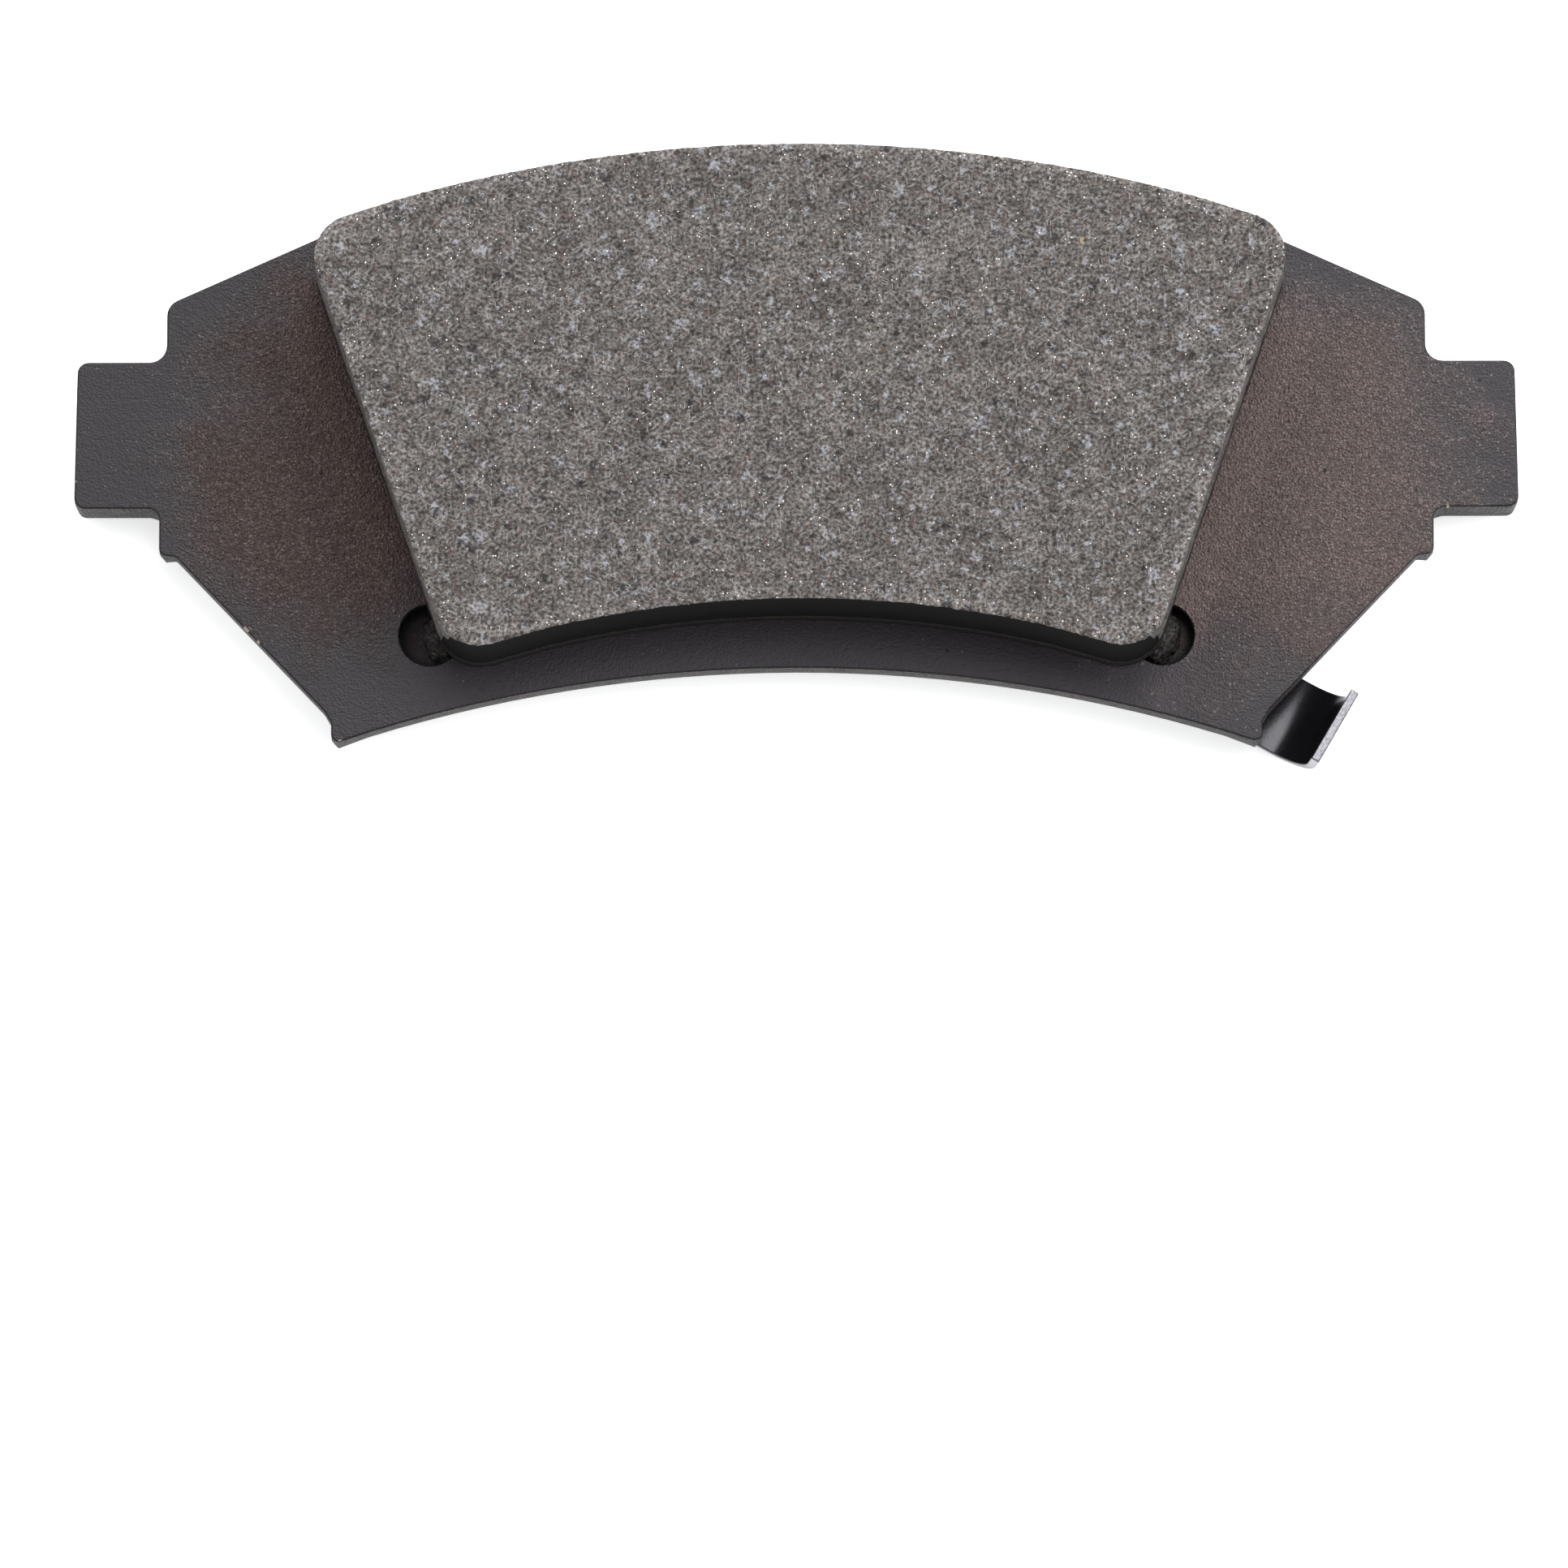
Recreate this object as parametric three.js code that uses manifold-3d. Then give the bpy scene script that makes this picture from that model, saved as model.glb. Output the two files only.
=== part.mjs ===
import * as THREE from 'three';
import { mergeVertices } from 'three/addons/utils/BufferGeometryUtils.js';
import Module from 'manifold-3d';

// Disc brake pad, in millimetres. It lies on its back: +Z points at the disc, +Y away from the
// wheel's centre and +X along the pad. The origin is on the outer face of the noise shim, where
// the piston's axis meets it.

// Backing plate, punched from steel. Heights are along Y from the piston's axis.
const plateThickness = 5.5;
const crownHeight = 26;
const crownRadius = 139.5;
const crownHalfWidth = 47;
const crownBlend = 8;
const shoulderHeight = 9.7;
const shoulderRound = 1.8;
const bodyHalfWidth = 65;
const earTopHeight = 3.6;
const earHeight = 15.5;
const earLength = 9.2;
const earFlare = 0.3;
const earRound = 1.15;
const earTopRelief = 1.8;
const earBottomRelief = 1.2;
const waistStepOut = 0.7;
const waistDrop = 4.9;
const waistRound = 0.8;
const hookIn = 1.7;
const hookDrop = 0.2;
const footHalfWidth = 47.9;
const footStepHeight = 3.5;
const footStepOut = 0.7;
const footStepDrop = 1.2;
const footFillet = 1.6;
const footRound = 1.3;
const innerArcDepth = 28.8;
const innerArcRadius = 147;

// Pips: half-sheared from the front, so each leaves a blind recess there.
const pipSpacing = 75.4;
const pipAboveEdge = 8.4;
const recessDepth = 2.3;
const pipRadius = 2.8;
const pipDraw = 0.45;
const pipBelowShim = 0.1;

// Friction material and the bonding underlayer beneath it, one outline.
const frictionDepth = 9;
const underlayerDepth = 2;
const frictionTopMargin = 1.9;
const frictionBottomMargin = 5;
const frictionTopRadius = 149.5;
const frictionBottomRadius = 111;
const frictionTopHalfWidth = 51.1;
const frictionBottomHalfWidth = 35.9;
const frictionTopRound = 4.3;
const frictionBottomRound = 4.6;
const frictionOffset = 0.4;

// Noise shim on the back: rubber, steel and rubber, held on by a film of adhesive.
const shimRubber = 0.2;
const shimSteel = 0.5;
const shimAdhesive = 0.1;
const shimInset = 2;
const shimTopHalfWidth = 54;
const shimBottomHalfWidth = 44.5;
const shimRound = 4;
const shimHoleClearance = 0.4;
const shimNotchClearance = 0.8;

// Wear indicator: a spring-steel strip staked on the right-hand pip.
const stripWidth = 8.4;
const stripThickness = 0.9;
const stripAngle = -30;
const eyeWall = 2.35;
const eyeNeck = 5;
const eyeHoleClearance = 0.15;
const bendClearance = 0.2;
const bendRadius = 5;
const bendAngle = 84;
const tipReach = 2.2;
const stakedHeadLip = 1.2;
const stakedHeadHeight = 0.5;

// Sizes and levels that follow from those above.
const recessRadius = pipRadius + pipDraw;
const stakedHeadRadius = pipRadius + stakedHeadLip;
const eyeHoleRadius = pipRadius + eyeHoleClearance;
const eyeRadius = Math.max(eyeHoleRadius + eyeWall, stripWidth / 2);
const steelTop = shimRubber + shimSteel;
const innerRubberTop = steelTop + shimRubber;
const shimThickness = innerRubberTop + shimAdhesive;
const plateBack = shimThickness;
const plateFront = plateBack + plateThickness;
const frictionBase = plateFront + underlayerDepth;

// Fineness of the faceted arcs.
const arcStep = 3;
const filletStep = 15;
const bendStep = 5;
const circleSegments = 36;

const wasm = await Module();
wasm.setup();

// ---- Solids ----

function toSolid(geometry) {
  const plain = geometry.clone();
  plain.deleteAttribute('normal');
  plain.deleteAttribute('uv');
  const merged = mergeVertices(plain, 1e-4);
  const mesh = new wasm.Mesh({
    numProp: 3,
    vertProperties: new Float32Array(merged.attributes.position.array),
    triVerts: new Uint32Array(merged.index.array),
  });
  return new wasm.Manifold(mesh);
}

function toGeometry(solid) {
  const mesh = solid.getMesh();
  const geometry = new THREE.BufferGeometry();
  geometry.setAttribute('position', new THREE.BufferAttribute(mesh.vertProperties, 3));
  geometry.setIndex(new THREE.BufferAttribute(mesh.triVerts, 1));
  geometry.computeVertexNormals();
  return geometry;
}

function prism(outline, bottom, top) {
  const options = { depth: top - bottom, bevelEnabled: false, steps: 1 };
  return new THREE.ExtrudeGeometry(new THREE.Shape(outline), options).translate(0, 0, bottom);
}

function disc(radius, bottom, top, x, y) {
  const geometry = new THREE.CylinderGeometry(radius, radius, top - bottom, circleSegments);
  return geometry.rotateX(Math.PI / 2).translate(x, y, (bottom + top) / 2);
}

// ---- Outlines ----

function corner(x, y, radius = 0) {
  return { x, y, radius };
}

// Drop of an arc below its crown, at x from the centre line.
function sag(x, radius) {
  return radius - Math.sqrt(radius * radius - x * x);
}

// Points on an arc between two places, both ends included.
function alongArc(heightAt, from, to) {
  const count = Math.max(1, Math.round(Math.abs(to - from) / arcStep));
  return Array.from({ length: count + 1 }, (_, i) => {
    const x = THREE.MathUtils.lerp(from, to, i / count);
    return corner(x, heightAt(x));
  });
}

// A whole outline from its right half, which runs from the top centre to the bottom centre.
function mirrored(rightHalf) {
  const leftHalf = rightHalf.filter((point) => point.x > 0).reverse();
  return [...rightHalf, ...leftHalf.map((point) => ({ ...point, x: -point.x }))];
}

// Replaces each corner that has a radius by an arc tangent to both of its sides. A radius too
// big for its sides is limited by the shorter one.
function rounded(corners) {
  const outline = [];
  corners.forEach((point, i) => {
    const here = new THREE.Vector2(point.x, point.y);
    if (point.radius === 0) {
      outline.push(here);
      return;
    }
    const last = corners[(i + corners.length - 1) % corners.length];
    const next = corners[(i + 1) % corners.length];
    const back = new THREE.Vector2(last.x, last.y).sub(here);
    const ahead = new THREE.Vector2(next.x, next.y).sub(here);
    const room = 0.48 * Math.min(back.length(), ahead.length());
    back.normalize();
    ahead.normalize();
    const half = Math.acos(THREE.MathUtils.clamp(back.dot(ahead), -1, 1)) / 2;
    const reach = Math.min(point.radius / Math.tan(half), room);
    const radius = reach * Math.tan(half);
    const start = here.clone().addScaledVector(back, reach);
    const end = here.clone().addScaledVector(ahead, reach);
    const middle = back.clone().add(ahead).normalize();
    const centre = here.clone().addScaledVector(middle, radius / Math.sin(half));
    const from = start.clone().sub(centre).angle();
    let turn = end.clone().sub(centre).angle() - from;
    turn -= 2 * Math.PI * Math.round(turn / (2 * Math.PI));
    const steps = Math.max(1, Math.ceil(Math.abs(turn) / THREE.MathUtils.degToRad(filletStep)));
    for (let step = 0; step <= steps; step += 1) {
      const angle = from + (turn * step) / steps;
      const spoke = new THREE.Vector2(Math.cos(angle), Math.sin(angle));
      outline.push(spoke.multiplyScalar(radius).add(centre));
    }
  });
  return outline;
}

const plateTop = (x) => crownHeight - sag(x, crownRadius);
const plateBottom = (x) => -innerArcDepth - sag(x, innerArcRadius);
const pipX = pipSpacing / 2;
const pipY = plateBottom(pipX) + pipAboveEdge;

function plateOutline() {
  const earTip = bodyHalfWidth + earLength;
  const earBottom = earTopHeight - earHeight;
  const waist = bodyHalfWidth + waistStepOut;
  const waistBottom = earBottom - waistDrop;
  const footTop = plateBottom(footHalfWidth) + footStepHeight;
  return rounded(mirrored([
    ...alongArc(plateTop, 0, crownHalfWidth - 2 * shoulderRound),
    corner(crownHalfWidth, plateTop(crownHalfWidth), crownBlend),
    corner(bodyHalfWidth, shoulderHeight, shoulderRound),
    corner(bodyHalfWidth, earTopHeight, earTopRelief),
    corner(earTip, earTopHeight, earRound),
    corner(earTip + earFlare, earBottom, earRound),
    corner(waist, earBottom, earBottomRelief),
    corner(waist, waistBottom, waistRound),
    corner(waist - hookIn, waistBottom - hookDrop, waistRound),
    corner(footHalfWidth + footStepOut, footTop, footFillet),
    corner(footHalfWidth, footTop - footStepDrop),
    corner(footHalfWidth, plateBottom(footHalfWidth), footRound),
    ...alongArc(plateBottom, footHalfWidth - 3 * footRound, 0),
  ]));
}

function frictionOutline() {
  const top = (x) => crownHeight - frictionTopMargin - sag(x, frictionTopRadius);
  const bottom = (x) => frictionBottomMargin - innerArcDepth - sag(x, frictionBottomRadius);
  const topRoom = 2.2 * frictionTopRound;
  const bottomRoom = 2.2 * frictionBottomRound;
  return rounded(mirrored([
    ...alongArc(top, 0, frictionTopHalfWidth - topRoom),
    corner(frictionTopHalfWidth, top(frictionTopHalfWidth), frictionTopRound),
    corner(frictionBottomHalfWidth, bottom(frictionBottomHalfWidth), frictionBottomRound),
    ...alongArc(bottom, frictionBottomHalfWidth - bottomRoom, 0),
  ]));
}

// The mould sets the lining a little off the plate's centre line, towards the indicator.
function frictionLayer(bottom, top) {
  return prism(frictionOutline(), bottom, top).translate(frictionOffset, 0, 0);
}

function shimOutline() {
  const top = (x) => crownHeight - shimInset - sag(x, crownRadius - shimInset);
  const bottom = (x) => shimInset - innerArcDepth - sag(x, innerArcRadius + shimInset);
  const room = 2.2 * shimRound;
  return rounded(mirrored([
    ...alongArc(top, 0, shimTopHalfWidth - room),
    corner(shimTopHalfWidth, top(shimTopHalfWidth), shimRound),
    corner(shimBottomHalfWidth, bottom(shimBottomHalfWidth), shimRound),
    ...alongArc(bottom, shimBottomHalfWidth - room, 0),
  ]));
}

// A straight band along +X, from the origin, its near end round if it has a radius.
function band(length, halfWidth, nearRadius = 0) {
  const count = Math.ceil(180 / filletStep);
  const nearEnd = Array.from({ length: count + 1 }, (_, i) => {
    const angle = Math.PI * (0.5 + i / count);
    return corner(nearRadius * Math.cos(angle), halfWidth * Math.sin(angle));
  });
  return rounded([corner(length, -halfWidth), corner(length, halfWidth), ...nearEnd]);
}

// Turns and moves a shape drawn along the strip, with its eye on the origin, on to its pip.
function toSeat(geometry) {
  return geometry.rotateZ(THREE.MathUtils.degToRad(stripAngle)).translate(pipX, pipY, 0);
}

// How far the plate's edge lies along the strip, over the strip's whole width.
function edgeUnderStrip() {
  const plate = prism(plateOutline(), 0, 1).translate(-pipX, -pipY, 0);
  plate.rotateZ(-THREE.MathUtils.degToRad(stripAngle));
  const strip = prism(band(2 * bodyHalfWidth, stripWidth / 2), 0, 1);
  return toSolid(plate).intersect(toSolid(strip)).boundingBox().max[0];
}

// The strip seen from the front, straight, with its eye on the origin.
function stripPlan() {
  const far = bendStart + 2 * bendRadius + tipReach + plateThickness;
  const half = stripWidth / 2;
  const neck = Math.sqrt(eyeRadius * eyeRadius - half * half);
  const lean = Math.atan2(half, neck);
  const count = Math.ceil((Math.PI - lean) / THREE.MathUtils.degToRad(filletStep));
  const eyeArc = Array.from({ length: 2 * count + 1 }, (_, i) => {
    const angle = lean + ((Math.PI - lean) * i) / count;
    return corner(eyeRadius * Math.cos(angle), eyeRadius * Math.sin(angle));
  });
  return rounded([
    corner(far, -half),
    corner(far, half),
    corner(neck + eyeNeck, half),
    ...eyeArc,
    corner(neck + eyeNeck, -half),
  ]);
}

const bendStart = edgeUnderStrip() + bendClearance;

// The strip seen from its side: flat, one bend towards the disc, and a straight leg. Its flat
// stretch hangs below height 0, and its tip stands tipReach past the plate's front.
function stripSide() {
  const bend = THREE.MathUtils.degToRad(bendAngle);
  const middle = -stripThickness / 2;
  const bendTop = middle + bendRadius * (1 - Math.cos(bend));
  const legLength = Math.max(0, (plateThickness + tipReach - bendTop) / Math.sin(bend));
  const steps = Math.ceil(bendAngle / bendStep);
  const side = (offset) => {
    const points = [corner(-2 * eyeRadius, middle + offset)];
    for (let step = 0; step <= steps; step += 1) {
      const angle = (bend * step) / steps;
      const radius = bendRadius - offset;
      const x = bendStart + radius * Math.sin(angle);
      points.push(corner(x, middle + bendRadius - radius * Math.cos(angle)));
    }
    const last = points.at(-1);
    points.push(corner(last.x + legLength * Math.cos(bend), last.y + legLength * Math.sin(bend)));
    return points;
  };
  return rounded([...side(-stripThickness / 2), ...side(stripThickness / 2).reverse()]);
}

// ---- Pieces ----

// The plate, its two front recesses, and the pips that they push out of its back. The metal of
// the right-hand pip goes through the indicator's eye and is staked over it.
function backingPlate() {
  const root = plateBack + 1;
  const plainEnd = pipBelowShim;
  const stakeTop = plateBack - stripThickness;
  const stakeEnd = stakeTop - stakedHeadHeight;
  let solid = toSolid(prism(plateOutline(), plateBack, plateFront));
  [-pipX, pipX].forEach((x) => {
    const recess = disc(recessRadius, plateFront - recessDepth, plateFront + 1, x, pipY);
    solid = solid.subtract(toSolid(recess));
  });
  solid = solid.add(toSolid(disc(pipRadius, plainEnd, root, -pipX, pipY)));
  const stake = new THREE.LatheGeometry([
    new THREE.Vector2(0, stakeEnd),
    new THREE.Vector2(0.8 * stakedHeadRadius, stakeEnd),
    new THREE.Vector2(stakedHeadRadius, stakeEnd + 0.6 * stakedHeadHeight),
    new THREE.Vector2(stakedHeadRadius, stakeTop),
    new THREE.Vector2(pipRadius, stakeTop),
    new THREE.Vector2(pipRadius, root),
    new THREE.Vector2(0, root),
  ], circleSegments);
  stake.rotateX(Math.PI / 2).translate(pipX, pipY, 0);
  return toGeometry(solid.add(toSolid(stake)));
}

// One layer of the shim, with a hole for the plain pip and a slot, open to the edge, that
// clears the indicator and its eye.
function shimLayer(bottom, top) {
  const hole = disc(pipRadius + shimHoleClearance, bottom - 1, top + 1, -pipX, pipY);
  const slotRadius = eyeRadius + shimNotchClearance;
  const slot = toSeat(prism(band(2 * bodyHalfWidth, slotRadius, slotRadius), bottom - 1, top + 1));
  const layer = toSolid(prism(shimOutline(), bottom, top));
  return toGeometry(layer.subtract(toSolid(hole)).subtract(toSolid(slot)));
}

// The strip, with its eye on its own origin and its flat face at height 0.
function indicatorStrip() {
  const tall = plateThickness + tipReach + 2 * bendRadius;
  const plan = toSolid(prism(stripPlan(), -tall, tall));
  const side = prism(stripSide(), -2 * eyeRadius, 2 * eyeRadius).rotateX(Math.PI / 2);
  const hole = disc(eyeHoleRadius, -tall, tall, 0, 0);
  return toGeometry(toSolid(side).intersect(plan).subtract(toSolid(hole)));
}

// ---- Assembly ----

const finishes = {
  powderCoat: { color: 0x2b2725, roughness: 0.5, metalness: 0.1 },
  friction: { color: 0x6a6661, roughness: 0.9, metalness: 0.05 },
  underlayer: { color: 0x1d1b1a, roughness: 0.8, metalness: 0 },
  springSteel: { color: 0x17181c, roughness: 0.3, metalness: 0.6 },
  rubber: { color: 0x1b1b1c, roughness: 0.7, metalness: 0 },
  steel: { color: 0x8a8c8e, roughness: 0.4, metalness: 0.9 },
  adhesive: { color: 0x9a8f78, roughness: 0.5, metalness: 0 },
};

function piece(name, geometry, finish) {
  const mesh = new THREE.Mesh(geometry, new THREE.MeshStandardMaterial(finishes[finish]));
  mesh.name = name;
  return mesh;
}

const group = new THREE.Group();
group.add(
  piece('backing_plate', backingPlate(), 'powderCoat'),
  piece('underlayer', frictionLayer(plateFront, frictionBase), 'underlayer'),
  piece('friction_block', frictionLayer(frictionBase, frictionBase + frictionDepth), 'friction'),
  piece('shim_outer_rubber', shimLayer(0, shimRubber), 'rubber'),
  piece('shim_steel_core', shimLayer(shimRubber, steelTop), 'steel'),
  piece('shim_inner_rubber', shimLayer(steelTop, innerRubberTop), 'rubber'),
  piece('shim_adhesive', shimLayer(innerRubberTop, shimThickness), 'adhesive'),
);

const indicatorSeat = new THREE.Group();
indicatorSeat.position.set(pipX, pipY, plateBack);
indicatorSeat.rotation.z = THREE.MathUtils.degToRad(stripAngle);
indicatorSeat.add(piece('wear_indicator', indicatorStrip(), 'springSteel'));
group.add(indicatorSeat);

export default group;
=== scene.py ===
import math

import bpy
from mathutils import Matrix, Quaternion, Vector, kdtree


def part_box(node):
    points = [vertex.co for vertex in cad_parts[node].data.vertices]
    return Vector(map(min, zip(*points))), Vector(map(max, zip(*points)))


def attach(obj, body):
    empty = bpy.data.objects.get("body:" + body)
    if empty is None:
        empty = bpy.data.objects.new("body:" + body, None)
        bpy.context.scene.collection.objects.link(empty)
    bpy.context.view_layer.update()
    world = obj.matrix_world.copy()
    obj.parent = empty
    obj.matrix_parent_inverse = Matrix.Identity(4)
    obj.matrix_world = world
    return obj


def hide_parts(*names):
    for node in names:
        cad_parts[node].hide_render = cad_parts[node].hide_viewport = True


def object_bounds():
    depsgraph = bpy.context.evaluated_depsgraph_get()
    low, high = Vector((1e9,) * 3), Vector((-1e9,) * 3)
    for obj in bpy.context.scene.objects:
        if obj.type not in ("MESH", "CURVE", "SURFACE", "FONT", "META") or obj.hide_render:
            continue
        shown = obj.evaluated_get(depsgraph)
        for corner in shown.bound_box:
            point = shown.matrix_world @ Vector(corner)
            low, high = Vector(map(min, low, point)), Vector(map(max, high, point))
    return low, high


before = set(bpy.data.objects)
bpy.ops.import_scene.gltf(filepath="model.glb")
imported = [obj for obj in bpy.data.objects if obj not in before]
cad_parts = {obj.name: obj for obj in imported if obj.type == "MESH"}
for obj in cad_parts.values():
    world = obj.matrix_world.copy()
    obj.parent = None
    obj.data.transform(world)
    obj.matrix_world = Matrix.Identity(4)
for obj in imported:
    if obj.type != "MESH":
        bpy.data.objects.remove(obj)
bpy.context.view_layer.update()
mm = 0.001  # every size below is in millimetres until it meets this
print("frame loaded:", ", ".join(sorted(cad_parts)))


def recessPlace():
    # the axis of the right-hand blind recess in the plate, from the corners of its floor
    low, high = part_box("shim_adhesive")[1].z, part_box("backing_plate")[1].z
    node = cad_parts["backing_plate"]
    corners = [node.matrix_world @ vertex.co for vertex in node.data.vertices]
    inside = 1 * mm
    floor = [c for c in corners if low + inside < c.z < high - inside and c.x > 0]
    across = [c.x for c in floor]
    along = [c.y for c in floor]
    return Vector(((min(across) + max(across)) / 2, (min(along) + max(along)) / 2))


recess = recessPlace()


def flankLine():
    # the straight right-hand side of the lining: where it crosses y = 0, and its slope
    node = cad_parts["friction_block"]
    sides = [face for face in node.data.polygons
             if face.normal.x > 0.5 and abs(face.normal.z) < 0.1]
    flank = max(sides, key=lambda face: face.area)
    ends = sorted((node.matrix_world @ node.data.vertices[i].co for i in flank.vertices),
                  key=lambda corner: corner.y)
    slope = (ends[-1].x - ends[0].x) / (ends[-1].y - ends[0].y)
    return ends[0].x - slope * ends[0].y, slope


flankAt, flankSlope = flankLine()


# ---- small tools ----

weld = 0.002 * mm  # corners closer together than this are made one

def makeActive(piece):
    if bpy.context.object and bpy.context.object.mode != "OBJECT":
        bpy.ops.object.mode_set(mode="OBJECT")
    bpy.ops.object.select_all(action="DESELECT")
    piece.select_set(True)
    bpy.context.view_layer.objects.active = piece


def editing(piece, chosen="SELECT"):
    makeActive(piece)
    bpy.ops.object.mode_set(mode="EDIT")
    bpy.ops.mesh.select_all(action=chosen)


def finishEditing():
    bpy.ops.object.mode_set(mode="OBJECT")


def copyNode(node, name, flat=0.3):
    # the CAD solid's loose triangles, welded and cleaned into a mesh that can be worked on
    piece = bpy.data.objects.new(name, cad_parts[node].data.copy())
    bpy.context.scene.collection.objects.link(piece)
    piece.data.materials.clear()
    editing(piece)
    bpy.ops.mesh.customdata_custom_splitnormals_clear()
    bpy.ops.mesh.remove_doubles(threshold=weld)
    bpy.ops.mesh.dissolve_limited(angle_limit=math.radians(flat))
    finishEditing()
    return piece


def applyModifiers(piece):
    makeActive(piece)
    for modifier in list(piece.modifiers):
        bpy.ops.object.modifier_apply(modifier=modifier.name)


def smooth(piece, angle):
    makeActive(piece)
    bpy.ops.object.shade_smooth_by_angle(angle=math.radians(angle))


def flattenShading(piece):
    # lets the large flat faces decide the normals along their rounded rims
    weighted = piece.modifiers.new("weighted", "WEIGHTED_NORMAL")
    weighted.mode = "FACE_AREA"
    weighted.weight = 100
    weighted.keep_sharp = True
    applyModifiers(piece)


def roundRims(piece, widthAt, segments, sharp=50):
    # bevels every sharp edge by the width that widthAt gives for its middle, in millimetres
    editing(piece, "DESELECT")
    bpy.ops.mesh.edges_select_sharp(sharpness=math.radians(sharp))
    finishEditing()
    mesh = piece.data
    widths = {}
    for edge in mesh.edges:
        if edge.select:
            ends = [mesh.vertices[i].co for i in edge.vertices]
            widths[edge.index] = widthAt((ends[0] + ends[1]) / 2)
    widest = max(widths.values())
    weights = mesh.attributes.new("bevel_weight_edge", "FLOAT", "EDGE")
    for index, width in widths.items():
        weights.data[index].value = width / widest
    bevel = piece.modifiers.new("rims", "BEVEL")
    bevel.limit_method = "WEIGHT"
    bevel.width = widest * mm
    bevel.segments = segments
    bevel.use_clamp_overlap = False
    applyModifiers(piece)
    # two rims that meet leave edges of no length between them
    editing(piece)
    bpy.ops.mesh.remove_doubles(threshold=weld)
    finishEditing()


def remesh(piece, voxel):
    makeActive(piece)
    piece.data.remesh_voxel_size = voxel * mm
    bpy.ops.object.voxel_remesh()


def thinFlat(piece, height, facing, reach=0.1):
    # closes a hidden flat side with one large face in place of its many small ones
    editing(piece, "DESELECT")
    finishEditing()
    for face in piece.data.polygons:
        near = abs(face.center.z - height) < reach * mm
        face.select = near and face.normal.z * facing > 0.95
    makeActive(piece)
    bpy.ops.object.mode_set(mode="EDIT")
    bpy.ops.mesh.select_mode(type="FACE")
    bpy.ops.mesh.delete(type="FACE")
    bpy.ops.mesh.select_mode(type="EDGE")
    bpy.ops.mesh.select_all(action="DESELECT")
    bpy.ops.mesh.select_non_manifold(extend=False)
    bpy.ops.mesh.edge_face_add()
    bpy.ops.mesh.select_all(action="SELECT")
    bpy.ops.mesh.normals_make_consistent(inside=False)
    bpy.ops.mesh.select_mode(type="VERT")
    finishEditing()


def weightGroup(piece, name, weights, count=20):
    # a vertex group from one weight per vertex, in count steps
    group = piece.vertex_groups.new(name=name)
    steps = {}
    for index, weight in enumerate(weights):
        step = round(weight * count)
        if step > 0:
            steps.setdefault(step, []).append(index)
    for step, members in steps.items():
        group.add(members, step / count, "REPLACE")


def roughen(piece, name, size, strength, group, direction="NORMAL", middle=0.5, depth=2):
    # pushes the surface in and out by a cloud pattern of the given grain size
    pattern = bpy.data.textures.new(name, "CLOUDS")
    pattern.noise_scale = size * mm
    pattern.noise_depth = depth
    push = piece.modifiers.new(name, "DISPLACE")
    push.texture = pattern
    push.texture_coords = "LOCAL"
    push.direction = direction
    push.strength = strength * mm
    push.mid_level = middle
    push.vertex_group = group


def settle(piece, slot, *nodes):
    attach(piece, "root")
    if nodes:
        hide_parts(*nodes)


# ---- node tools ----

def addNode(tree, kind, inputs=None, **settings):
    node = tree.nodes.new("ShaderNode" + kind)
    for key, value in settings.items():
        setattr(node, key, value)
    for key, value in (inputs or {}).items():
        if isinstance(value, bpy.types.NodeSocket):
            tree.links.new(value, node.inputs[key])
        else:
            node.inputs[key].default_value = value
    return node


def maths(tree, operation, first, second=0.0, third=0.0):
    node = addNode(tree, "Math", {0: first, 1: second, 2: third}, operation=operation)
    return node.outputs[0]


def ramp(tree, value, low, high, outLow=0.0, outHigh=1.0):
    # a smooth step as value goes from low to high
    node = addNode(tree, "MapRange", {
        "Value": value, "From Min": low, "From Max": high, "To Min": outLow, "To Max": outHigh,
    }, interpolation_type="SMOOTHSTEP")
    return node.outputs[0]


def blendColour(tree, mask, under, over):
    node = addNode(tree, "Mix", data_type="RGBA")
    for index, value in ((0, mask), (6, under), (7, over)):
        if isinstance(value, bpy.types.NodeSocket):
            tree.links.new(value, node.inputs[index])
        elif index:
            node.inputs[index].default_value = (*value, 1.0)
        else:
            node.inputs[index].default_value = value
    return node.outputs[2]


def blendValue(tree, mask, under, over):
    return addNode(tree, "Mix", {0: mask, 2: under, 3: over}, data_type="FLOAT").outputs[0]


def scaledBy(tree, vector, factor):
    return addNode(tree, "VectorMath", {0: vector, "Scale": factor}, operation="SCALE").outputs[0]


def newGroup(name, inputs, outputs):
    # a node group: inputs is {name: (kind, default)}, outputs is {name: kind}
    kinds = {"vector": "NodeSocketVector", "value": "NodeSocketFloat", "colour": "NodeSocketColor"}
    tree = bpy.data.node_groups.new(name, "ShaderNodeTree")
    for socket, (kind, default) in inputs.items():
        made = tree.interface.new_socket(socket, in_out="INPUT", socket_type=kinds[kind])
        if default is not None:
            made.default_value = default
    for socket, kind in outputs.items():
        tree.interface.new_socket(socket, in_out="OUTPUT", socket_type=kinds[kind])
    return tree, tree.nodes.new("NodeGroupInput").outputs, tree.nodes.new("NodeGroupOutput").inputs


def useGroup(tree, group, inputs):
    node = tree.nodes.new("ShaderNodeGroup")
    node.node_tree = group
    for key, value in inputs.items():
        if isinstance(value, bpy.types.NodeSocket):
            tree.links.new(value, node.inputs[key])
        else:
            node.inputs[key].default_value = value
    return node.outputs


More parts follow.
